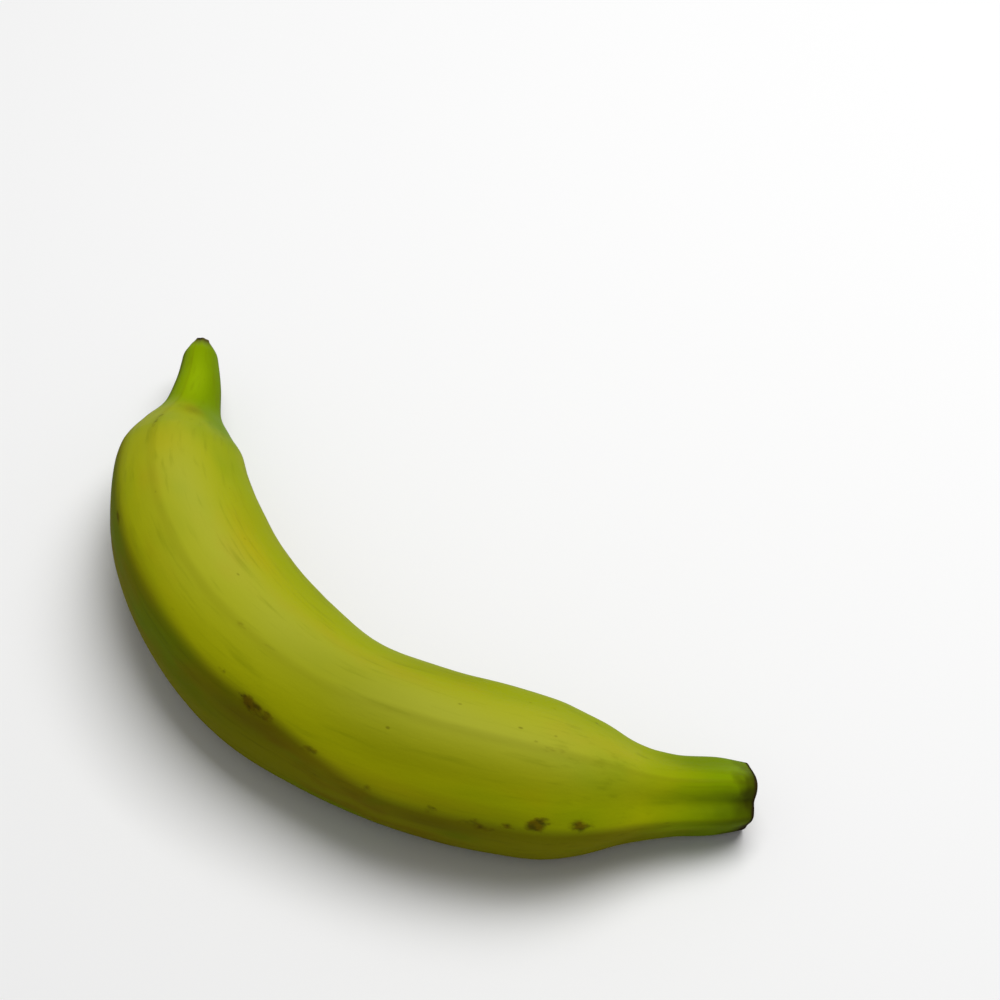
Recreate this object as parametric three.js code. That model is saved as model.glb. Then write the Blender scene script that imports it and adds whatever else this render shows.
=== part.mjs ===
import * as THREE from 'three';
import { mergeVertices } from 'three/addons/utils/BufferGeometryUtils.js';

// A plantain, one whole fruit as picked, lying on its side. Millimetres, +Z up.
// The bow lies along X with its outer side towards -Y, the cut stalk at +X and
// the flower end at -X. The origin is on the ground, under the middle of the fruit.

// Length along the middle line, from the cut stalk to the flower end
const LENGTH = 256;

// How the middle line turns: evenly all along, a little more past its middle,
// and slightly back again in the narrow neck (degrees, and places as shares of
// the length)
const STALK_HEADING = 238;
const EVEN_TURN = 96.7;
const MIDDLE_TURN = { half: 12.7, place: 0.58, spread: 0.24 };
const NECK_TURN = { half: -9, place: 0.93, spread: 0.025 };

// Cross-sections: distance from the cut, radius between the ridges, height of
// the ridges as a share of that radius, and gap between fruit and ground. The
// gap is below zero at the three places where the fruit bears on the ground.
const STATIONS = [
  { along: 0, radius: 7.3, ridge: 0.20, gap: 0.7 },
  { along: 7, radius: 8.5, ridge: 0.19, gap: 1.5 },
  { along: 18, radius: 9.1, ridge: 0.17, gap: 3.2 },
  { along: 28, radius: 11.2, ridge: 0.15, gap: 3.0 },
  { along: 38, radius: 15.2, ridge: 0.13, gap: 1.0 },
  { along: 48, radius: 18.0, ridge: 0.12, gap: -0.4 },
  { along: 60, radius: 19.0, ridge: 0.12, gap: 0.3 },
  { along: 80, radius: 19.4, ridge: 0.12, gap: 0.5 },
  { along: 105, radius: 19.2, ridge: 0.12, gap: 0.4 },
  { along: 130, radius: 20.6, ridge: 0.12, gap: -0.4 },
  { along: 155, radius: 20.5, ridge: 0.12, gap: 0.4 },
  { along: 180, radius: 19.5, ridge: 0.12, gap: 0.5 },
  { along: 195, radius: 17.9, ridge: 0.12, gap: 0.3 },
  { along: 207, radius: 16.3, ridge: 0.11, gap: -0.7 },
  { along: 217, radius: 12.8, ridge: 0.09, gap: 1.5 },
  { along: 227, radius: 8.7, ridge: 0.07, gap: 5.0 },
  { along: 238, radius: 6.6, ridge: 0.06, gap: 8.0 },
  { along: 252, radius: 4.6, ridge: 0.04, gap: 10.5 },
];

// The five long ridges: their angle round the section (0 on the outer side of
// the bow, 90 on top) before and past the stretch where they drift round, their
// strength, and their width in degrees
const RIDGES = [
  { atStalk: 20, pastDrift: 43, strength: 0.9, width: 21 },
  { atStalk: 78, pastDrift: 75, strength: 0.85, width: 25 },
  { atStalk: 152, pastDrift: 162, strength: 0.75, width: 18 },
  { atStalk: 229, pastDrift: 236, strength: 0.9, width: 20 },
  { atStalk: 306, pastDrift: 316, strength: 0.9, width: 20 },
];
const RIDGE_DRIFT = { from: 80, to: 120 };

// The crease in the stalk, where it was pressed against its neighbour: it is
// measured like a ridge, and runs out along the shoulder
const CREASE = { angle: 43, strength: 0.9, width: 18, length: 45 };

// Ends: the cut face is a shallow dish inside a rounded rim, and the flower end
// is a dome, which begins this far from the tip, with the dry stub of the flower
const CUT = { dish: 1.0, dishShare: 0.7, rim: 0.6 };
const DOME = { from: 7.6, length: 7 };
const STUB = { share: 0.55, edge: 0.5 };

// The cut is a little oblique, longer on the inner side of the bow: how far it
// leans for each millimetre across, from a line on the outer side
const SLANT = { lean: 0.12, from: 6, length: 20 };

const SIDES = 48;
const RINGS = 74;
const DOME_RINGS = 4;
const WALK_STEP = 0.5;

const radians = THREE.MathUtils.degToRad;

// A smooth curve through one column of the stations
function station(column, along) {
  const last = STATIONS.length - 1;
  const spanAfter = (i) => STATIONS[i + 1].along - STATIONS[i].along;
  const slope = (i) => (STATIONS[i + 1][column] - STATIONS[i][column]) / spanAfter(i);
  const tangent = (i) => {
    if (i === 0) return slope(0);
    if (i === last) return slope(last - 1);
    const before = spanAfter(i - 1);
    const after = spanAfter(i);
    return (slope(i - 1) * after + slope(i) * before) / (before + after);
  };
  const place = THREE.MathUtils.clamp(along, 0, STATIONS[last].along);
  const i = Math.min(STATIONS.findLastIndex((row) => row.along <= place), last - 1);
  const span = spanAfter(i);
  const t = (place - STATIONS[i].along) / span;
  const rise = t * t * (3 - 2 * t);
  return STATIONS[i][column] * (1 - rise) + STATIONS[i + 1][column] * rise
    + span * t * (1 - t) * (tangent(i) * (1 - t) - tangent(i + 1) * t);
}

// Direction of the middle line, in radians
function heading(along) {
  const share = along / LENGTH;
  const turn = ({ half, place, spread }) => (
    half * (Math.tanh((share - place) / spread) + Math.tanh(place / spread))
  );
  return radians(STALK_HEADING - EVEN_TURN * share - turn(MIDDLE_TURN) - turn(NECK_TURN));
}

// The middle line seen from above, walked out from the stalk in short steps
const line = [new THREE.Vector3()];
for (let along = WALK_STEP / 2; along < LENGTH; along += WALK_STEP) {
  const step = new THREE.Vector3(Math.cos(heading(along)), Math.sin(heading(along)), 0);
  line.push(line.at(-1).clone().addScaledVector(step, WALK_STEP));
}

// Height of the middle line above the ground
function height(along) {
  return station('gap', along) + station('radius', along);
}

// Centre of a section with its two directions: out of the bow, and up
function sectionFrame(along) {
  const walked = THREE.MathUtils.clamp(along / WALK_STEP, 0, line.length - 1.001);
  const i = Math.floor(walked);
  const centre = line[i].clone().lerp(line[i + 1], walked - i).setZ(height(along));
  const angle = heading(along);
  const climb = height(along + WALK_STEP) - height(along - WALK_STEP);
  const forward = new THREE.Vector3(Math.cos(angle), Math.sin(angle), climb / (2 * WALK_STEP));
  const out = new THREE.Vector3(-Math.sin(angle), Math.cos(angle), 0);
  const up = new THREE.Vector3().crossVectors(forward.normalize(), out);
  return { centre, out, up, forward };
}

// A hump over the angles round the section: 1 at its middle, falling off over its width
function hump(angle, middle, width) {
  const away = angle - radians(middle);
  const nearest = Math.atan2(Math.sin(away), Math.cos(away));
  return Math.exp(-((nearest / radians(width)) ** 2));
}

// Swelling of the section at an angle: 1 between the ridges, more on their
// crests and less in the crease
function swell(angle, along) {
  const drift = THREE.MathUtils.smoothstep(along, RIDGE_DRIFT.from, RIDGE_DRIFT.to);
  const creased = CREASE.strength * Math.max(1 - along / CREASE.length, 0);
  let crest = -creased * hump(angle, CREASE.angle, CREASE.width);
  for (const { atStalk, pastDrift, strength, width } of RIDGES) {
    crest += strength * hump(angle, THREE.MathUtils.lerp(atStalk, pastDrift, drift), width);
  }
  return 1 + station('ridge', along) * crest;
}

// Outline of the fruit laid straight: x is the share of the section's radius, y
// the distance along. It runs from the middle of the cut to the tip of the stub.
function straightOutline() {
  const outline = [
    new THREE.Vector2(0, CUT.dish),
    new THREE.Vector2(CUT.dishShare / 2, CUT.dish),
    new THREE.Vector2(CUT.dishShare, CUT.dish * 0.6),
    new THREE.Vector2(0.95, 0),
    new THREE.Vector2(1, CUT.rim),
  ];
  const domeStart = LENGTH - DOME.from;
  for (let ring = 1; ring <= RINGS; ring += 1) {
    outline.push(new THREE.Vector2(1, THREE.MathUtils.lerp(CUT.rim, domeStart, ring / RINGS)));
  }
  const stubAngle = Math.acos(STUB.share);
  for (let ring = 1; ring <= DOME_RINGS; ring += 1) {
    const angle = stubAngle * ring / DOME_RINGS;
    outline.push(new THREE.Vector2(Math.cos(angle), domeStart + DOME.length * Math.sin(angle)));
  }
  outline.push(
    new THREE.Vector2(STUB.share * 0.9, LENGTH - STUB.edge),
    new THREE.Vector2(STUB.share * 0.6, LENGTH),
    new THREE.Vector2(0, LENGTH),
  );
  return outline;
}

// The straight body gets its ridges, is bent along the middle line and is
// flattened where it bears on the ground
function plantainGeometry() {
  const turned = new THREE.LatheGeometry(straightOutline(), SIDES);
  turned.deleteAttribute('normal');
  turned.deleteAttribute('uv');
  const body = mergeVertices(turned, 1e-4);
  const vertices = body.getAttribute('position');
  const straight = new THREE.Vector3();
  for (let i = 0; i < vertices.count; i += 1) {
    straight.fromBufferAttribute(vertices, i);
    const along = straight.y;
    const angle = Math.atan2(straight.x, straight.z);
    const share = Math.hypot(straight.x, straight.z);
    const reach = share * station('radius', along) * swell(angle, along);
    const { centre, out, up, forward } = sectionFrame(along);
    const nearCut = 1 - THREE.MathUtils.smoothstep(along, 0, SLANT.length);
    const slant = nearCut * SLANT.lean * (SLANT.from - reach * Math.cos(angle));
    const point = centre
      .addScaledVector(out, reach * Math.cos(angle))
      .addScaledVector(up, reach * Math.sin(angle))
      .addScaledVector(forward, -slant);
    vertices.setXYZ(i, point.x, point.y, Math.max(point.z, 0));
  }
  body.computeBoundingBox();
  const middle = body.boundingBox.getCenter(new THREE.Vector3());
  body.translate(-middle.x, -middle.y, 0);
  body.computeVertexNormals();
  return body;
}

const peel = new THREE.MeshStandardMaterial({ color: '#a3a52b', roughness: 0.45, metalness: 0 });
const plantain = new THREE.Mesh(plantainGeometry(), peel);
plantain.name = 'plantain';

const fruit = new THREE.Group();
fruit.add(plantain);

export default fruit;
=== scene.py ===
import math

import bpy
from mathutils import Matrix, Vector


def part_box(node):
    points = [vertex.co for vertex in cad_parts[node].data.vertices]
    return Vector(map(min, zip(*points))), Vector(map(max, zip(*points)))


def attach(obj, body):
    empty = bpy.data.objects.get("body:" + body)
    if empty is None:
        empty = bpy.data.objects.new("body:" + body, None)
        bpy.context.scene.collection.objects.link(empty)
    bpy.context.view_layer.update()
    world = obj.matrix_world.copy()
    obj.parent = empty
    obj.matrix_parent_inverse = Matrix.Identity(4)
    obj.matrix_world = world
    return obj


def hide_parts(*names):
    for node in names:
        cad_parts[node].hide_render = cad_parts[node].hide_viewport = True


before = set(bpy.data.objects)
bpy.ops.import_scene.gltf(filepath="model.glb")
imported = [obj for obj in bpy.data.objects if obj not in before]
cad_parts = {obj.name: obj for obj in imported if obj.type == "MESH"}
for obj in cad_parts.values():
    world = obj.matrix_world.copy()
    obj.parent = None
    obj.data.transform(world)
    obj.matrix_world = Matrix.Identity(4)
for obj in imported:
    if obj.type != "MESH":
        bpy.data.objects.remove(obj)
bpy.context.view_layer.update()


# ---------------------------------------------------------------------------
# The plantain: one whole fruit, a firm waxy peel round starchy flesh, grown in
# one piece with its stalk and its dry flower end. It is swept section by section
# along its bowed middle line, and lies on three flat spots of its underside.
# ---------------------------------------------------------------------------

MM = 0.001

# Middle line: length in mm from the cut stalk to the flower end, how it turns
# (degrees; half turn, place and spread in shares of the length), and the length
# of one step along it in mm
LENGTH = 256
STALK_HEADING = 238
EVEN_TURN = 96.7
MIDDLE_TURN = (12.7, 0.58, 0.24)
NECK_TURN = (-9, 0.93, 0.025)
WALK_STEP = 0.5

# Sections: mm from the cut, radius between the ridges, ridge height as a share
# of it, and gap to the ground, below zero where the fruit bears on it
STATIONS = [
    (0, 7.3, 0.20, 0.7),
    (7, 8.5, 0.19, 1.5),
    (18, 9.1, 0.17, 3.2),
    (28, 11.2, 0.15, 3.0),
    (38, 15.2, 0.13, 1.0),
    (48, 18.0, 0.12, -0.4),
    (60, 19.0, 0.12, 0.3),
    (80, 19.4, 0.12, 0.5),
    (105, 19.2, 0.12, 0.4),
    (130, 20.6, 0.12, -0.4),
    (155, 20.5, 0.12, 0.4),
    (180, 19.5, 0.12, 0.5),
    (195, 17.9, 0.12, 0.3),
    (207, 16.3, 0.11, -0.7),
    (217, 12.8, 0.09, 1.5),
    (227, 8.7, 0.07, 5.0),
    (238, 6.6, 0.06, 8.0),
    (252, 4.6, 0.04, 10.5),
]
RADIUS, RIDGE, GAP = 1, 2, 3

# Ridges: angle round the section before and past the stretch where they drift
# round (degrees, 0 on the outer side of the bow, 90 on top), strength and width.
# A narrow line runs along each crest: its width in degrees, and the mean and the
# change of its height, as shares.
OUTER_RIDGE = (20, 43, 0.9, 21)
TOP_RIDGE = (78, 75, 0.85, 25)
INNER_RIDGE = (152, 162, 0.75, 18)
LOW_RIDGES = [(229, 236, 0.9, 20), (306, 316, 0.9, 20)]
RIDGES = [OUTER_RIDGE, TOP_RIDGE, INNER_RIDGE, *LOW_RIDGES]
DRIFT_FROM, DRIFT_TO = 80, 120
CREST_WIDTH, CREST_SHARE, CREST_CHANGE = 5, 0.6, 0.35

# Crease of the stalk: angle, strength, width in degrees, and mm to its end. The
# stain of the cut, with painted shade on the stalk's lower lobe, runs along its
# outer side: angle and width.
CREASE = (43, 0.9, 18, 45)
STAIN_AND_SHADE_SIDE = (36, 30)

# Where the colours change round the fruit: angle and width of the top, where the
# green ends are painted lighter as painted light, and of the wax bloom that also
# serves as a painted highlight, and the climb of the painted shade past the outer
# ridge (mm from the cut where it begins and ends, and degrees)
PAINTED_LIGHT_TOP_SIDE = (84, 44)
WAX_HIGHLIGHT_SIDE = (92, 26)
CLIMB_FROM, CLIMB_TO, CLIMB = 122, 158, 6

# Bruises: mm from the cut, angle, half length and half width in mm, and
# darkness. They are sunk by this many mm.
BRUISES = [
    (42, 26, 2.8, 1.8, 0.8),
    (51, 26, 2.6, 1.6, 1.0),
    (57, 21, 1.6, 1.1, 0.7),
    (63, 17, 3.4, 1.8, 0.8),
    (73, 21, 1.8, 1.2, 0.7),
    (87, 22, 2.2, 1.2, 0.6),
    (102, 32, 3.0, 1.2, 0.6),
    (117, 39, 5.0, 1.8, 0.9),
    (128, 46, 3.0, 1.0, 0.5),
    (24, 152, 2.0, 0.9, 0.7),
    (31, 153, 1.6, 0.8, 0.9),
    (38, 154, 2.6, 1.0, 0.8),
    (148, 160, 3.0, 0.9, 0.5),
    (92, 234, 5.0, 2.0, 0.7),
    (172, 316, 4.0, 1.6, 0.6),
]
BRUISE_DEPTH = 0.12

# Soft tints of the peel, a few of them painted shade and painted light as marked:
# mm from the cut, angle, half length and half width in mm, colour and strength
TINTS_AND_PAINTED_LIGHT = [
    # Painted shade in the valley between the outer and the top ridge
    (80, 47, 36, 5.0, "5e6200", 0.28),
    # Duller green on the top ridge, dimming the painted highlight there
    (103, 88, 26, 8.0, "7f8606", 0.42),
    (76, 27, 34, 2.6, "84700a", 0.35),
    # Painted light: lighter green on top of the neck
    (236, 92, 8, 3.4, "93ae06", 0.60),
    (219, 106, 4, 3.0, "6c640a", 0.45),
    (152, 124, 12, 3.5, "b39a06", 0.30),
    (196, 82, 7, 5.0, "b0a006", 0.30),
    (28, 27, 9, 2.6, "aeb004", 0.45),
    (72, 8, 12, 3.0, "4a3606", 0.40),
    (67, -4, 5, 3.0, "4c6000", 0.45),
    (118, 26, 12, 3.5, "44300a", 0.35),
    (136, 8, 14, 4.0, "566600", 0.45),
    # Painted shade on the inner side of the stalk, as from a fruit beside it
    (13, 122, 10, 5.0, "5e7000", 0.45),
    (17, 12, 9, 3.0, "86a200", 0.45),
    # Painted shade on the inner side of the body, as from a fruit beside it
    (82, 138, 12, 4.0, "7a8003", 0.30),
]

# Ends: the rough dished cut, which leans for each mm across from a line on the
# outer side, and the dome with the dry stub of the flower and its puckers (mm)
CUT_DISH, CUT_RIM, RIM_SHARE, CUT_WAVES = 0.9, 0.7, 0.06, 0.45
SLANT, SLANT_FROM, SLANT_LENGTH = 0.12, 6, 20
DOME_FROM, DOME = 7.6, 7.0
STUB_SHARE, STUB_TAPER, STUB_EDGE = 0.55, 0.12, 0.5
PUCKERS, PUCKER_HEIGHT = 8.0, 0.20

# Rows of points along the fruit, points round it, and the distance in mm within
# which points become one, at the seam and in the middle of both ends
CUT_ROWS, RIM_ROWS, BODY_ROWS, DOME_ROWS, STUB_ROWS = 18, 5, 360, 14, 7
SIDES = 232
MERGE = 0.002


def station(column, along):
    """A smooth curve through one column of the stations."""
    last = len(STATIONS) - 1
    place = min(max(along, 0), STATIONS[last][0])
    i = max(k for k in range(last) if STATIONS[k][0] <= place)

    def span(k):
        return STATIONS[k + 1][0] - STATIONS[k][0]

    def slope(k):
        return (STATIONS[k + 1][column] - STATIONS[k][column]) / span(k)

    def tangent(k):
        if k in (0, last):
            return slope(min(k, last - 1))
        before, after = span(k - 1), span(k)
        return (slope(k - 1) * after + slope(k) * before) / (before + after)

    t = (place - STATIONS[i][0]) / span(i)
    rise = t * t * (3 - 2 * t)
    level = STATIONS[i][column] * (1 - rise) + STATIONS[i + 1][column] * rise
    return level + span(i) * t * (1 - t) * (tangent(i) * (1 - t) - tangent(i + 1) * t)


def heading(along):
    """Direction of the middle line, in radians."""
    share = along / LENGTH
    turned = EVEN_TURN * share
    for half, place, spread in (MIDDLE_TURN, NECK_TURN):
        turned += half * (math.tanh((share - place) / spread) + math.tanh(place / spread))
    return math.radians(STALK_HEADING - turned)


def middle_line():
    """Points of the middle line seen from above, walked out from the stalk."""
    points = [Vector((0, 0, 0))]
    for k in range(int(LENGTH / WALK_STEP)):
        angle = heading((k + 0.5) * WALK_STEP)
        points.append(points[-1] + Vector((math.cos(angle), math.sin(angle), 0)) * WALK_STEP)
    return points


def outline():
    """Rows from the middle of the cut to the tip of the stub: share of the radius, and mm along."""
    rows = []
    face = 1 - RIM_SHARE
    for k in range(CUT_ROWS):
        share = face * k / (CUT_ROWS - 1)
        rows.append((share, CUT_DISH * (1 - (share / face) ** 3)))
    for k in range(1, RIM_ROWS):
        angle = math.pi / 2 * k / RIM_ROWS
        rows.append((face + RIM_SHARE * math.sin(angle), CUT_RIM * (1 - math.cos(angle))))
    dome_start = LENGTH - DOME_FROM
    for k in range(BODY_ROWS + 1):
        rows.append((1, CUT_RIM + (dome_start - CUT_RIM) * k / BODY_ROWS))
    for k in range(1, DOME_ROWS + 1):
        angle = math.acos(STUB_SHARE) * k / DOME_ROWS
        rows.append((math.cos(angle), dome_start + DOME * math.sin(angle)))
    stub_start = rows[-1][1]
    stub_length = LENGTH - STUB_EDGE - stub_start
    for k in range(1, STUB_ROWS + 1):
        grown = k / STUB_ROWS
        rows.append((STUB_SHARE * (1 - STUB_TAPER * grown), stub_start + stub_length * grown))
    stub_tip = STUB_SHARE * (1 - STUB_TAPER)
    for k in range(1, STUB_ROWS + 1):
        angle = math.pi / 2 * k / STUB_ROWS
        rows.append((stub_tip * math.cos(angle), LENGTH - STUB_EDGE * (1 - math.sin(angle))))
    return rows


def section_rows():
    """A line of points, one at each section's centre, with the section's sizes and directions."""
    line = middle_line()

    def height(along):
        return station(GAP, along) + station(RADIUS, along)

    rows = outline()
    centres, directions = [], {"out": [], "up": [], "forward": []}
    for share, along in rows:
        place = min(max(along / WALK_STEP, 0), len(line) - 1.001)
        centre = line[int(place)].lerp(line[int(place) + 1], place % 1)
        centre.z = height(along)
        angle = heading(along)
        climb = (height(along + WALK_STEP) - height(along - WALK_STEP)) / (2 * WALK_STEP)
        forward = Vector((math.cos(angle), math.sin(angle), climb)).normalized()
        out = Vector((-math.sin(angle), math.cos(angle), 0))
        centres.append(centre * MM)
        directions["out"].extend(out)
        directions["up"].extend(forward.cross(out))
        directions["forward"].extend(forward)
    mesh = bpy.data.meshes.new("section_rows")
    mesh.from_pydata(centres, [(k, k + 1) for k in range(len(rows) - 1)], [])
    columns = {
        "along": [along * MM for share, along in rows],
        "share": [share for share, along in rows],
        "radius": [station(RADIUS, along) * MM for share, along in rows],
        "ridge": [station(RIDGE, along) for share, along in rows],
    }
    for name, values in columns.items():
        mesh.attributes.new(name, "FLOAT", "POINT").data.foreach_set("value", values)
    for name, values in directions.items():
        mesh.attributes.new(name, "FLOAT_VECTOR", "POINT").data.foreach_set("vector", values)
    return mesh


def feed(tree, socket, value):
    """Links an output into a socket, or sets the socket to a plain value."""
    if isinstance(value, bpy.types.NodeSocket):
        tree.links.new(value, socket)
    else:
        socket.default_value = value


def step(tree, kind, settings=None, **inputs):
    """A node with its settings and named inputs. Underscores in input names stand for spaces."""
    made = tree.nodes.new(kind)
    for name, value in (settings or {}).items():
        setattr(made, name, value)
    for name, value in inputs.items():
        feed(tree, made.inputs[name.replace("_", " ")], value)
    return made


def calc(tree, operation, *values):
    """A math node's result."""
    made = tree.nodes.new("ShaderNodeMath")
    made.operation = operation
    for socket, value in zip(made.inputs, values):
        feed(tree, socket, value)
    return made.outputs[0]


def vector_calc(tree, operation, a, b):
    """A vector math node's result. b is a number for SCALE."""
    made = tree.nodes.new("ShaderNodeVectorMath")
    made.operation = operation
    feed(tree, made.inputs[0], a)
    feed(tree, made.inputs["Scale"] if operation == "SCALE" else made.inputs[1], b)
    return made.outputs[0]


def product(tree, *values):
    """All the values multiplied."""
    result = values[0]
    for value in values[1:]:
        result = calc(tree, "MULTIPLY", result, value)
    return result


def bell(tree, away, width):
    """A smooth hump: 1 where away is 0, falling off over width."""
    share = calc(tree, "DIVIDE", away, width)
    return calc(tree, "EXPONENT", product(tree, share, share, -1.0))


def ramp(tree, value, none, full):
    """0 where the value is at none and 1 where it is at full, smooth between."""
    made = step(tree, "ShaderNodeMapRange", {"interpolation_type": "SMOOTHSTEP"}, Value=value)
    made.inputs["From Min"].default_value = min(none, full)
    made.inputs["From Max"].default_value = max(none, full)
    made.inputs["To Min"].default_value = 0.0 if full > none else 1.0
    made.inputs["To Max"].default_value = 1.0 if full > none else 0.0
    return made.outputs[0]


def noise(tree, straight, size, stretch, detail, roughness, seed):
    """Noise from 0 to 1 with features of this size in mm, drawn out along the fruit."""
    size *= MM
    drawn = vector_calc(tree, "MULTIPLY", straight, (1 / size, 1 / size, 1 / (size * stretch)))
    return step(
        tree, "ShaderNodeTexNoise", {"noise_dimensions": "4D"},
        Vector=drawn, W=seed, Scale=1.0, Detail=detail, Roughness=roughness,
    ).outputs["Fac"]


def fruit_tree():
    """Geometry nodes that sweep the ridged sections along the rows, with the peel's relief."""
    tree = bpy.data.node_groups.new("plantain_body", "GeometryNodeTree")
    tree.is_modifier = True
    sockets = {
        "Geometry": "NodeSocketGeometry",
        "Sides": "NodeSocketInt",
        "Ridge Wander": "NodeSocketFloat",
        "Crest Height": "NodeSocketFloat",
        "Lump Height": "NodeSocketFloat",
        "Dent Height": "NodeSocketFloat",
        "Fibre Height": "NodeSocketFloat",
        "Cut Roughness": "NodeSocketFloat",
        "Seed": "NodeSocketFloat",
        "Material": "NodeSocketMaterial",
    }
    for name, kind in sockets.items():
        tree.interface.new_socket(name, in_out="INPUT", socket_type=kind)
    tree.interface.new_socket("Geometry", in_out="OUTPUT", socket_type="NodeSocketGeometry")
    given = step(tree, "NodeGroupInput").outputs
    rows = given["Geometry"]

    # A flat sheet of sections, one row of it for each section
    row_count = step(tree, "GeometryNodeAttributeDomainSize", Geometry=rows).outputs["Point Count"]
    sheet = step(
        tree, "GeometryNodeMeshGrid",
        Size_X=1.0, Size_Y=1.0, Vertices_X=calc(tree, "ADD", given["Sides"], 1), Vertices_Y=row_count,
    )
    position = step(tree, "GeometryNodeInputPosition").outputs[0]
    place = step(tree, "ShaderNodeSeparateXYZ", Vector=position).outputs
    angle = calc(tree, "MULTIPLY", calc(tree, "ADD", place["X"], 0.5), math.tau)
    last_row = calc(tree, "SUBTRACT", row_count, 1)
    row = calc(tree, "ROUND", calc(tree, "MULTIPLY", calc(tree, "ADD", place["Y"], 0.5), last_row))

    def at_row(value, kind="FLOAT"):
        """The value at a point's own row."""
        return step(
            tree, "GeometryNodeSampleIndex", {"data_type": kind}, Geometry=rows, Value=value, Index=row
        ).outputs[0]

    def from_row(name, kind="FLOAT"):
        """What a point's row says under this name."""
        read = step(tree, "GeometryNodeInputNamedAttribute", {"data_type": kind}, Name=name)
        return at_row(read.outputs["Attribute"], kind)

    along, share, radius = from_row("along"), from_row("share"), from_row("radius")

    # The same point on the fruit laid straight, which the relief and the colours follow
    cosine, sine = calc(tree, "COSINE", angle), calc(tree, "SINE", angle)
    girth = product(tree, radius, share)
    straight = step(
        tree, "ShaderNodeCombineXYZ", X=product(tree, girth, cosine), Y=product(tree, girth, sine), Z=along
    ).outputs[0]

    def relief(size, stretch=1.0, detail=2.0):
        """Noise either side of 0, mostly within 1, with features of this size in mm."""
        level = noise(tree, straight, size, stretch, detail, 0.5, given["Seed"])
        return calc(tree, "MULTIPLY_ADD", level, 4.0, -2.0)

    def away_from(middle):
        """Angle from a line along the fruit, between minus and plus half a turn."""
        return calc(tree, "WRAP", calc(tree, "SUBTRACT", angle, middle), math.pi, -math.pi)

    def side(middle, width):
        """A hump round a fixed line along the fruit, both in degrees."""
        return bell(tree, away_from(math.radians(middle)), math.radians(width))

    # Five ridges with a fine line along each crest, wandering a little
    drift = ramp(tree, along, DRIFT_FROM * MM, DRIFT_TO * MM)
    wander = product(tree, relief(60, stretch=1.5, detail=1.0), given["Ridge Wander"])
    ridges = crests = 0.0
    lines = {}
    for ridge in RIDGES:
        at_stalk, past_drift, strength, width = ridge
        middle = calc(
            tree, "MULTIPLY_ADD", drift, math.radians(past_drift - at_stalk), math.radians(at_stalk)
        )
        lines[ridge] = calc(tree, "SUBTRACT", middle, wander)
        away = away_from(lines[ridge])
        crest = bell(tree, away, math.radians(CREST_WIDTH))
        ridges = calc(tree, "MULTIPLY_ADD", bell(tree, away, math.radians(width)), strength, ridges)
        crests = calc(tree, "MULTIPLY_ADD", crest, strength, crests)
    crease_angle, crease_strength, crease_width, crease_length = CREASE
    creased = product(tree, ramp(tree, along, crease_length * MM, 0.0), side(crease_angle, crease_width))
    swell = calc(tree, "MULTIPLY_ADD", creased, -crease_strength, ridges)
    swell = calc(tree, "MULTIPLY_ADD", from_row("ridge"), swell, 1.0)

    # Relief of the peel: crest lines, broad lumps, small dents, and fibres along
    # the fruit, all lower where the fruit is thin
    patchy = calc(tree, "MULTIPLY_ADD", relief(12, stretch=3.0), CREST_CHANGE, CREST_SHARE)
    raised = product(tree, crests, patchy, given["Crest Height"])
    raised = calc(tree, "MULTIPLY_ADD", relief(35, stretch=1.6), given["Lump Height"], raised)
    raised = calc(tree, "MULTIPLY_ADD", relief(8, stretch=2.0), given["Dent Height"], raised)
    raised = calc(tree, "MULTIPLY_ADD", relief(1.6, stretch=16.0), given["Fibre Height"], raised)
    raised = product(tree, raised, ramp(tree, radius, none=0.0, full=16 * MM))

    # Bruises sink a little; their marks are kept for the colour
    bruised = 0.0
    for bruise_along, bruise_angle, half_length, half_width, darkness in BRUISES:
        lengthwise = bell(tree, calc(tree, "SUBTRACT", along, bruise_along * MM), half_length * MM)
        sideways = product(tree, away_from(math.radians(bruise_angle)), radius)
        spot = product(tree, lengthwise, bell(tree, sideways, half_width * MM), darkness)
        bruised = calc(tree, "MAXIMUM", bruised, spot)
    raised = calc(tree, "MULTIPLY_ADD", bruised, -BRUISE_DEPTH * MM, raised)

    # Puckers round the dry stub
    tip = ramp(tree, along, none=(LENGTH - 9) * MM, full=(LENGTH - 1.6) * MM)
    uneven = product(tree, relief(4, stretch=3.0, detail=1.0), 1.6)
    folds = calc(tree, "SINE", calc(tree, "MULTIPLY_ADD", angle, PUCKERS, uneven))
    raised = calc(tree, "ADD", raised, product(tree, folds, tip, PUCKER_HEIGHT * MM))
    reach = product(tree, calc(tree, "MULTIPLY_ADD", radius, swell, raised), share)

    # The cut is wavy, with torn fibres inside its rim, and a little oblique
    torn = product(
        tree, relief(1.4, detail=3.0), ramp(tree, share, none=1.0, full=0.9), given["Cut Roughness"]
    )
    wavy = calc(tree, "MULTIPLY_ADD", relief(9, detail=1.0), CUT_WAVES * MM, torn)
    wavy = product(tree, wavy, ramp(tree, along, none=6 * MM, full=1 * MM))
    slant = calc(tree, "MULTIPLY_ADD", product(tree, reach, cosine), -SLANT, SLANT * SLANT_FROM * MM)
    slant = product(tree, slant, ramp(tree, along, SLANT_LENGTH * MM, 0.0))

    # Bend to the middle line, and press flat where it bears on the ground
    lengths = {
        "out": product(tree, reach, cosine),
        "up": product(tree, reach, sine),
        "forward": calc(tree, "SUBTRACT", wavy, slant),
    }
    bent = at_row(position, "FLOAT_VECTOR")
    for name, length in lengths.items():
        moved = vector_calc(tree, "SCALE", from_row(name, "FLOAT_VECTOR"), length)
        bent = vector_calc(tree, "ADD", bent, moved)
    spot = step(tree, "ShaderNodeSeparateXYZ", Vector=bent).outputs
    resting = step(
        tree, "ShaderNodeCombineXYZ", X=spot["X"], Y=spot["Y"], Z=calc(tree, "MAXIMUM", spot["Z"], 0.0)
    ).outputs[0]
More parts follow.
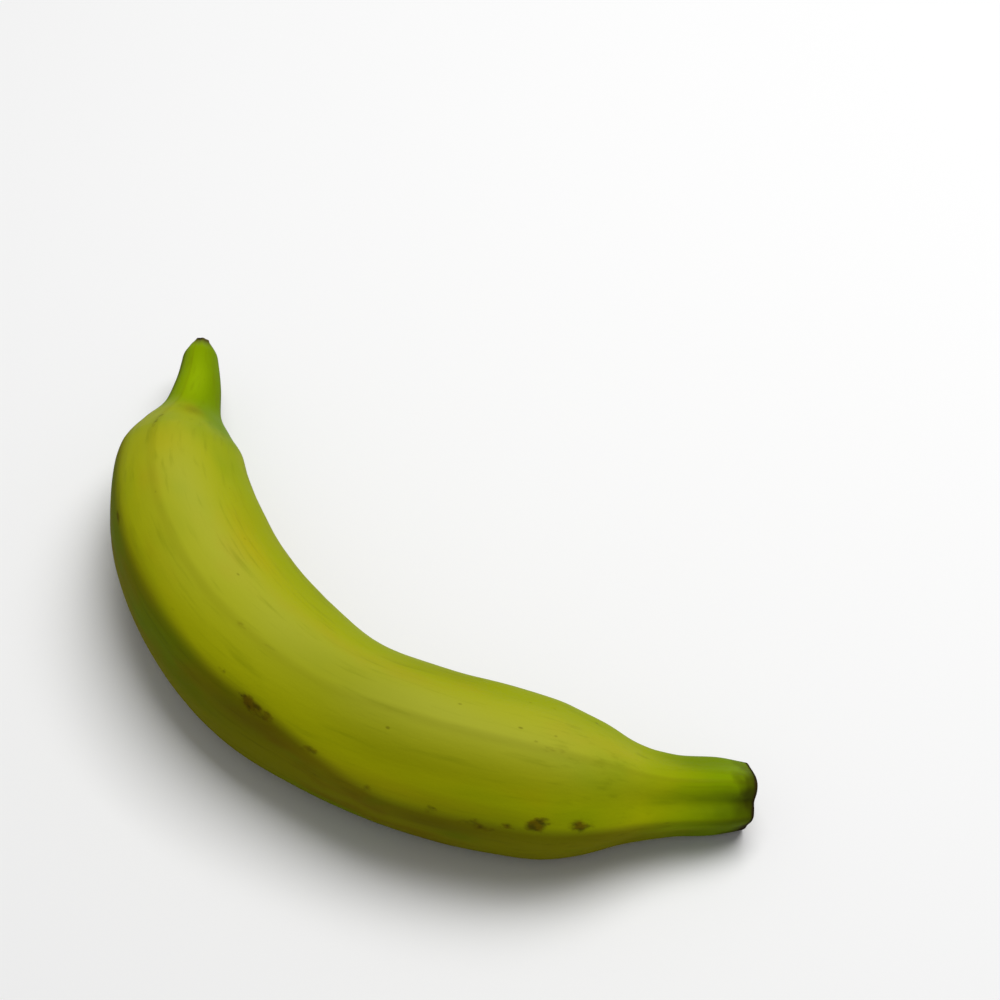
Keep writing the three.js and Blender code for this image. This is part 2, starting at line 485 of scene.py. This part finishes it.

    # The painted shade covers the side under the outer and inner ridges, and climbs a
    # little past the outer one, with a softer edge, along the second half of the fruit
    climb = ramp(tree, along, CLIMB_FROM * MM, CLIMB_TO * MM)
    shade_line = calc(tree, "MULTIPLY_ADD", climb, math.radians(CLIMB), lines[OUTER_RIDGE])
    softness = calc(tree, "MULTIPLY_ADD", climb, 0.8, 1.0)
    below_outer = calc(tree, "DIVIDE", calc(tree, "SINE", away_from(shade_line)), softness)
    above_inner = calc(tree, "SINE", away_from(lines[INNER_RIDGE]))
    painted_shade = calc(
        tree, "MAXIMUM",
        ramp(tree, below_outer, none=0.06, full=-0.10), ramp(tree, above_inner, none=-0.05, full=0.25),
    )

    # The inner side is greener and painted darker as painted shade, and greener still
    # at the neck; the pale wax, which also serves as a painted highlight, is thickest
    # on top of the body
    inner_green_and_shade = ramp(tree, above_inner, none=-0.80, full=-0.15)
    neck_side = ramp(tree, above_inner, none=-0.97, full=-0.55)
    wax_and_highlight = product(
        tree, side(*WAX_HIGHLIGHT_SIDE),
        ramp(tree, along, none=12 * MM, full=50 * MM), ramp(tree, along, none=232 * MM, full=172 * MM),
    )

    shaped = sheet.outputs["Mesh"]
    for name, kind, value in [
        ("straight", "FLOAT_VECTOR", straight),
        ("along", "FLOAT", along),
        ("share", "FLOAT", share),
        ("crest", "FLOAT", crests),
        ("painted_shade", "FLOAT", painted_shade),
        ("inner_green_and_shade", "FLOAT", inner_green_and_shade),
        ("neck_side", "FLOAT", neck_side),
        ("wax_and_highlight", "FLOAT", wax_and_highlight),
        ("bruised", "FLOAT", bruised),
        ("creased", "FLOAT", side(*STAIN_AND_SHADE_SIDE)),
        ("painted_light_on_top", "FLOAT", side(*PAINTED_LIGHT_TOP_SIDE)),
        ("final", "FLOAT_VECTOR", resting),
    ]:
        shaped = step(
            tree, "GeometryNodeStoreNamedAttribute", {"data_type": kind, "domain": "POINT"},
            Geometry=shaped, Name=name, Value=value,
        ).outputs["Geometry"]
    final = step(tree, "GeometryNodeInputNamedAttribute", {"data_type": "FLOAT_VECTOR"}, Name="final")
    final = final.outputs["Attribute"]
    shaped = step(tree, "GeometryNodeSetPosition", Geometry=shaped, Position=final).outputs[0]
    shaped = step(tree, "GeometryNodeRemoveAttribute", Geometry=shaped, Name="final").outputs[0]
    shaped = step(tree, "GeometryNodeMergeByDistance", Geometry=shaped, Distance=MERGE * MM).outputs[0]
    shaped = step(tree, "GeometryNodeSetShadeSmooth", Geometry=shaped).outputs[0]
    shaped = step(tree, "GeometryNodeRealizeInstances", Geometry=shaped).outputs[0]
    shaped = step(
        tree, "GeometryNodeSetMaterial", Geometry=shaped, Material=given["Material"]
    ).outputs[0]
    step(tree, "NodeGroupOutput", Geometry=shaped)
    return tree


# Colours of the body, its inner side (partly painted shade), its green ends
# (painted lighter on top as painted light) and the wax on top, also a painted highlight
OLIVE, WARM_OLIVE, GREEN_OLIVE, INNER_GREEN_AND_SHADE = "9ea204", "a39803", "8b9903", "8b9802"
END_GREEN, END_GREEN_PAINTED_LIGHT, WAX_AND_PAINTED_HIGHLIGHT = "6b8500", "7e9800", "b2b454"

# Colours of the painted shade on the underside, of the fine lines and of the marks
PAINTED_SHADE_OLIVE, PAINTED_SHADE_BROWN, PAINTED_SHADE_GREEN, PAINTED_SHADE_ENDS = "686302", "604b03", "5a6b01", "546c00"
LINES, LINES_IN_PAINTED_SHADE, CREST_LINES = "6a7404", "3a3a02", "6f6e06"
BRUISE, BRUISE_MIDDLE, FRECKLES = "5c4606", "33260a", "5a5208"

# Colours of the stalk's cut, whose stain is partly painted shade, and of the flower end
STAIN_AND_SHADE_COLOUR, WITHERED = "2e2c04", "54501c"
DRY, DRY_DARK, DRY_STUB = "342a10", "221a0a", "5e552c"
CUT_FACE, CUT_STRANDS = "6b6140", "3a2e16"

# Where the green ends begin and are full, in mm from the cut, how many mm sooner
# the inner side of the neck turns green, and how far the edges wave
GREEN_STALK, GREEN_NECK = (32, 6), (214, 234)
INNER_SOONER = 15
EDGE_WAVES = 20

# The surface: refraction and strength of the gloss, roughness of the peel and
# its change, and height in mm and strength of the finest bumps
REFRACTION, GLOSS_STRENGTH = 1.42, 0.02
ROUGHNESS, ROUGHNESS_CHANGE = 0.40, 0.14
BUMP_HEIGHT, BUMP_STRENGTH = 0.12, 0.6


def paint(code):
    """A colour written as six hex digits, as the shader wants it."""
    levels = [int(code[k:k + 2], 16) / 255 for k in (0, 2, 4)]
    linear = [v / 12.92 if v <= 0.04045 else ((v + 0.055) / 1.055) ** 2.4 for v in levels]
    return (*linear, 1.0)


def peel_material():
    """Ripening peel: olive yellow on the body, green at both ends, brown on scuffs, cut and stub, with
    painted shade below and painted light on top.
    """
    material = bpy.data.materials.new("plantain_peel")
    material.use_nodes = True
    tree = material.node_tree
    shader = tree.nodes["Principled BSDF"]

    def read(name, output="Fac"):
        """What the mesh says under this name."""
        return step(tree, "ShaderNodeAttribute", {"attribute_name": name}).outputs[output]

    straight, along, share = read("straight", "Vector"), read("along"), read("share")
    crest, painted_shade, bruised, creased = read("crest"), read("painted_shade"), read("bruised"), read("creased")
    inner_green_and_shade, neck_side, wax_and_highlight, painted_light_on_top = read("inner_green_and_shade"), read("neck_side"), read("wax_and_highlight"), read("painted_light_on_top")

    def grain(size, stretch=1.0, detail=3.0, seed=0.0):
        """Noise from 0 to 1 with spots of this size in mm, drawn out along the fruit."""
        return noise(tree, straight, size, stretch, detail, 0.55, seed)

    def clouds(size, stretch, seed, none, full, detail=3.0):
        """Soft patches of this size in mm, between two levels of the grain."""
        return ramp(tree, grain(size, stretch, detail, seed), none, full)

    def cells(size, stretch=1.0):
        """Distance from the middles of scattered cells of this size in mm, and their random colours."""
        size *= MM
        drawn = vector_calc(tree, "MULTIPLY", straight, (1 / size, 1 / size, 1 / (size * stretch)))
        return step(tree, "ShaderNodeTexVoronoi", {"feature": "F1"}, Vector=drawn, Scale=1.0).outputs

    def blend(base, over, *amounts):
        """One colour laid over another, by amounts from 0 to 1 that are multiplied."""
        made = step(tree, "ShaderNodeMix", {"data_type": "RGBA"})
        feed(tree, made.inputs["Factor"], product(tree, *amounts))
        for socket, value in ((made.inputs[6], base), (made.inputs[7], over)):
            feed(tree, socket, paint(value) if isinstance(value, str) else value)
        return made.outputs[2]

    # Ground colour: olive yellow body with warmer and greener clouds, green at the ends
    colour = blend(OLIVE, WARM_OLIVE, clouds(22, 2.0, seed=1.0, none=0.52, full=0.68), 0.6)
    colour = blend(colour, GREEN_OLIVE, clouds(30, 2.0, seed=2.0, none=0.48, full=0.68))
    # The inner side is greener and painted darker, partly its own green and partly painted shade
    colour = blend(colour, INNER_GREEN_AND_SHADE, inner_green_and_shade, 0.75)
    waves = calc(tree, "MULTIPLY_ADD", grain(12, seed=3.0), EDGE_WAVES * MM, -EDGE_WAVES * MM / 2)
    wavy_along = calc(tree, "ADD", along, waves)
    to_tip = calc(tree, "MULTIPLY_ADD", neck_side, INNER_SOONER * MM, wavy_along)
    greens = calc(
        tree, "MAXIMUM",
        ramp(tree, wavy_along, *(place * MM for place in GREEN_STALK)),
        ramp(tree, to_tip, *(place * MM for place in GREEN_NECK)),
    )
    # Painted light: the green ends are painted lighter on top
    colour = blend(colour, blend(END_GREEN, END_GREEN_PAINTED_LIGHT, painted_light_on_top), greens)

    # A pale bloom of wax on top, which also serves as a painted highlight, thicker in clouds, but not on
    # the green ends
    wax_and_highlight = product(tree, wax_and_highlight, calc(tree, "SUBTRACT", 1.0, greens))
    thicker = clouds(26, 2.2, seed=17.0, none=0.38, full=0.62, detail=1.0)
    colour = blend(colour, WAX_AND_PAINTED_HIGHLIGHT, wax_and_highlight, calc(tree, "MULTIPLY_ADD", thicker, 0.18, 0.18))

    # Painted shade: the underside is painted darker, with brown and green clouds
    painted_shade_colour = blend(PAINTED_SHADE_OLIVE, PAINTED_SHADE_BROWN, clouds(18, 2.0, seed=10.0, none=0.50, full=0.66))
    painted_shade_colour = blend(painted_shade_colour, PAINTED_SHADE_GREEN, clouds(20, 2.0, seed=11.0, none=0.54, full=0.68))
    painted_shade_colour = blend(painted_shade_colour, PAINTED_SHADE_ENDS, greens, 0.8)
    colour = blend(colour, painted_shade_colour, painted_shade, 0.85)

    # Soft tints here and there, a few of them painted shade and painted light
    for tint_along, tint_angle, half_length, half_width, tint, strength in TINTS_AND_PAINTED_LIGHT:
        turn, reach = math.radians(tint_angle), station(RADIUS, tint_along) * MM
        middle = (reach * math.cos(turn), reach * math.sin(turn), tint_along * MM)
        away = vector_calc(tree, "SUBTRACT", straight, middle)
        sizes = (1 / half_width, 1 / half_width, 1 / half_length)
        away = vector_calc(tree, "SCALE", vector_calc(tree, "MULTIPLY", away, sizes), 1 / MM)
        spread = step(tree, "ShaderNodeVectorMath", {"operation": "LENGTH"}, Vector=away)
        colour = blend(colour, tint, bell(tree, spread.outputs["Value"], 1.0), strength)

    # Fine darker lines along the fruit, darker still in the painted shade, and along the crests
    line_colour = blend(LINES, LINES_IN_PAINTED_SHADE, painted_shade)
    colour = blend(colour, line_colour, clouds(1.6, 14.0, seed=4.0, none=0.52, full=0.75), 0.28)
    colour = blend(colour, CREST_LINES, ramp(tree, crest, none=0.3, full=1.0), 0.22)

    # Bruises with frayed edges and rubbed crests, both brown
    frayed = calc(tree, "MULTIPLY_ADD", grain(2.6, 1.4, detail=5.0, seed=5.0), 2.4, -1.2)
    frayed = product(tree, frayed, ramp(tree, bruised, none=0.0, full=0.3))
    sore = ramp(tree, calc(tree, "ADD", bruised, frayed), none=0.25, full=1.0)
    rubbed = product(
        tree, ramp(tree, crest, none=0.5, full=0.95),
        clouds(6, 3.0, seed=12.0, none=0.62, full=0.70, detail=5.0), 0.8,
    )
    sore = calc(tree, "MAXIMUM", sore, rubbed)
    brown = blend(BRUISE, BRUISE_MIDDLE, clouds(1.5, 1.5, seed=6.0, none=0.42, full=0.62))
    colour = blend(colour, brown, sore, 0.85)

    # A few freckles
    dots = cells(2.7, 1.6)
    lot = step(tree, "ShaderNodeSeparateColor", Color=dots["Color"]).outputs[0]
    freckle = product(
        tree, ramp(tree, dots["Distance"], none=0.17, full=0.05), ramp(tree, lot, none=0.88, full=0.96)
    )
    colour = blend(colour, FRECKLES, freckle, 0.5)

    # The cut's dark stain all round it, and further back along the crease a dark band that is partly stain
    # and partly painted shade on the stalk's lower lobe
    fading = calc(tree, "EXPONENT", calc(tree, "MULTIPLY", wavy_along, -1 / (8.5 * MM)))
    stain_and_shade = calc(tree, "MINIMUM", product(tree, creased, fading, 1.3), 1.0)
    stain_and_shade = calc(tree, "MAXIMUM", stain_and_shade, ramp(tree, wavy_along, none=6.5 * MM, full=-1 * MM))
    colour = blend(colour, STAIN_AND_SHADE_COLOUR, stain_and_shade, 0.9)

    # The flower end withers towards its dry stub
    withered = ramp(
        tree, calc(tree, "ADD", along, product(tree, waves, 0.15)),
        none=(LENGTH - 5.5) * MM, full=(LENGTH - 1.8) * MM,
    )
    colour = blend(colour, WITHERED, withered, 0.8)

    # Dry rim and paler face of the cut with the ends of its strands, and dry stub
    rim_edge = calc(tree, "MULTIPLY_ADD", grain(2, seed=13.0), 1.2 * MM, along)
    rim = ramp(tree, rim_edge, none=2.2 * MM, full=1.4 * MM)
    face = product(
        tree, ramp(tree, share, none=0.97, full=0.90), ramp(tree, along, none=20 * MM, full=10 * MM)
    )
    stub_edge = calc(tree, "MULTIPLY_ADD", grain(1.6, detail=4.0, seed=18.0), 1.6 * MM, along)
    stub = ramp(tree, stub_edge, none=(LENGTH - 0.9) * MM, full=(LENGTH - 0.3) * MM)
    dried = calc(tree, "MAXIMUM", calc(tree, "MAXIMUM", rim, face), stub)
    strands = ramp(tree, cells(1.1, 3.0)["Distance"], none=0.42, full=0.16)
    pale_face = blend(CUT_FACE, CUT_STRANDS, strands)
    dry = blend(DRY, DRY_DARK, clouds(4, 1.0, seed=14.0, none=0.40, full=0.60))
    dry = blend(dry, pale_face, face, clouds(5, 1.0, seed=15.0, none=0.40, full=0.60))
    dry = blend(dry, DRY_STUB, stub, clouds(1.4, 1.0, seed=19.0, none=0.36, full=0.56), 0.85)
    feed(tree, shader.inputs["Base Color"], blend(colour, dry, dried))

    # Waxy gloss, duller where the peel is bruised, dry, or under the painted shade
    dullness = calc(tree, "MULTIPLY_ADD", grain(6, 1.5, seed=7.0), ROUGHNESS_CHANGE, ROUGHNESS)
    dullness = calc(tree, "MULTIPLY_ADD", sore, 0.2, dullness)
    dullness = calc(tree, "MULTIPLY_ADD", painted_shade, 0.25, dullness)
    dry_ends = product(tree, calc(tree, "MAXIMUM", dried, withered), 0.85)
    feed(tree, shader.inputs["Roughness"], calc(tree, "MAXIMUM", dullness, dry_ends))
    shader.inputs["IOR"].default_value = REFRACTION
    shader.inputs["Specular IOR Level"].default_value = GLOSS_STRENGTH

    # Pores and fine fibres, sunk freckles, and rough bruises and dry ends
    bumps = product(tree, grain(0.9, 2.0, detail=2.0, seed=8.0), 0.5)
    bumps = calc(tree, "MULTIPLY_ADD", grain(1.2, 12.0, detail=2.0, seed=9.0), 0.6, bumps)
    bumps = calc(tree, "MULTIPLY_ADD", freckle, -0.4, bumps)
    rough = product(tree, grain(0.8, detail=4.0, seed=16.0), calc(tree, "MAXIMUM", dried, sore))
    bumps = calc(tree, "MULTIPLY_ADD", rough, 3.0, bumps)
    bump = step(
        tree, "ShaderNodeBump", Height=bumps, Distance=BUMP_HEIGHT * MM, Strength=BUMP_STRENGTH
    )
    feed(tree, shader.inputs["Normal"], bump.outputs["Normal"])
    return material


body = fruit_tree()
plantain = bpy.data.objects.new("plantain_fruit", section_rows())
bpy.context.scene.collection.objects.link(plantain)
growth = plantain.modifiers.new("growth", "NODES")
growth.node_group = body
inputs = {
    "Sides": SIDES,
    "Ridge Wander": math.radians(1.5),
    "Crest Height": 0.30 * MM,
    "Lump Height": 0.35 * MM,
    "Dent Height": 0.08 * MM,
    "Fibre Height": 0.03 * MM,
    "Cut Roughness": 0.25 * MM,
    "Seed": 7.0,
    "Material": peel_material(),
}
for socket in body.interface.items_tree:
    if socket.in_out == "INPUT" and socket.name in inputs:
        growth[socket.identifier] = inputs[socket.name]
grown = plantain.evaluated_get(bpy.context.evaluated_depsgraph_get())
peel_mesh = bpy.data.meshes.new_from_object(grown)
plantain.modifiers.remove(growth)
plantain.data = peel_mesh

# The middle of the fruit's box stands over the origin, as its solid's does
solid_low, solid_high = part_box("plantain")
points = [vertex.co for vertex in peel_mesh.vertices]
shift = Vector((0, 0, 0))
for axis in (0, 1):
    places = [point[axis] for point in points]
    shift[axis] = (solid_low[axis] + solid_high[axis] - min(places) - max(places)) / 2
peel_mesh.transform(Matrix.Translation(shift))

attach(plantain, "root")
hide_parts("plantain")


# ---------------------------------------------------------------------------
# Floor: a plain pale sheet, matt and seamless, larger than the view. The fruit
# lies loose on it.
# ---------------------------------------------------------------------------

# Half its width in metres, and its finish
FLOOR_HALF = 3.0
FLOOR_COLOUR = (0.93, 0.93, 0.93, 1)
FLOOR_ROUGHNESS = 0.9

corners = [(-1, -1), (1, -1), (1, 1), (-1, 1)]
floor_mesh = bpy.data.meshes.new("floor")
floor_mesh.from_pydata([(x * FLOOR_HALF, y * FLOOR_HALF, 0) for x, y in corners], [], [(0, 1, 2, 3)])
floor = bpy.data.objects.new("floor", floor_mesh)
bpy.context.scene.collection.objects.link(floor)
pale = bpy.data.materials.new("pale_floor")
pale.use_nodes = True
pale.node_tree.nodes["Principled BSDF"].inputs["Base Color"].default_value = FLOOR_COLOUR
pale.node_tree.nodes["Principled BSDF"].inputs["Roughness"].default_value = FLOOR_ROUGHNESS
floor_mesh.materials.append(pale)


# ---------------------------------------------------------------------------
# Light: a wide soft lamp above, a little behind and to the right, and an even
# pale surround.
# ---------------------------------------------------------------------------

# The way the viewer looks, and the viewer's right, on the floor
VIEW_AZIMUTH = math.radians(46)
ahead = Vector((-math.sin(VIEW_AZIMUTH), math.cos(VIEW_AZIMUTH), 0))
right = Vector((math.cos(VIEW_AZIMUTH), math.sin(VIEW_AZIMUTH), 0))

# Place and size in metres, and power in watts
LAMP_PLACE = ahead * 0.30 + right * 0.30 + Vector((0, 0, 1.15))
LAMP_SIZE, LAMP_POWER = 0.9, 13.2
SURROUND_STRENGTH = 0.27

lamp = bpy.data.lights.new("key", "AREA")
lamp.shape = "SQUARE"
lamp.size = LAMP_SIZE
lamp.energy = LAMP_POWER
lamp_holder = bpy.data.objects.new("key", lamp)
lamp_holder.location = LAMP_PLACE
lamp_holder.rotation_euler = (-LAMP_PLACE).to_track_quat("-Z", "Y").to_euler()
bpy.context.scene.collection.objects.link(lamp_holder)

surround = bpy.data.worlds.new("surround")
surround.use_nodes = True
surround.node_tree.nodes["Background"].inputs["Color"].default_value = (1, 1, 1, 1)
surround.node_tree.nodes["Background"].inputs["Strength"].default_value = SURROUND_STRENGTH
bpy.context.scene.world = surround


# ---------------------------------------------------------------------------
# Camera: looks down on the fruit from half way up, so that the fruit lies in
# the lower left of the view.
# ---------------------------------------------------------------------------

# Aim and distance in metres, and the width of the film in mm
VIEW_ELEVATION = math.radians(50)
AIM = Vector((-0.0024, 0.0559, 0.020))
DISTANCE = 0.635
FIELD_OF_VIEW = math.radians(24)
FILM = 36

back = -ahead * math.cos(VIEW_ELEVATION) + Vector((0, 0, math.sin(VIEW_ELEVATION)))
camera_data = bpy.data.cameras.new("camera")
camera_data.sensor_width = FILM
camera_data.lens = FILM / 2 / math.tan(FIELD_OF_VIEW / 2)
camera = bpy.data.objects.new("camera", camera_data)
camera.location = AIM + back * DISTANCE
camera.rotation_euler = (-back).to_track_quat("-Z", "Y").to_euler()
bpy.context.scene.collection.objects.link(camera)
bpy.context.scene.camera = camera
bpy.context.scene.view_settings.view_transform = "Standard"
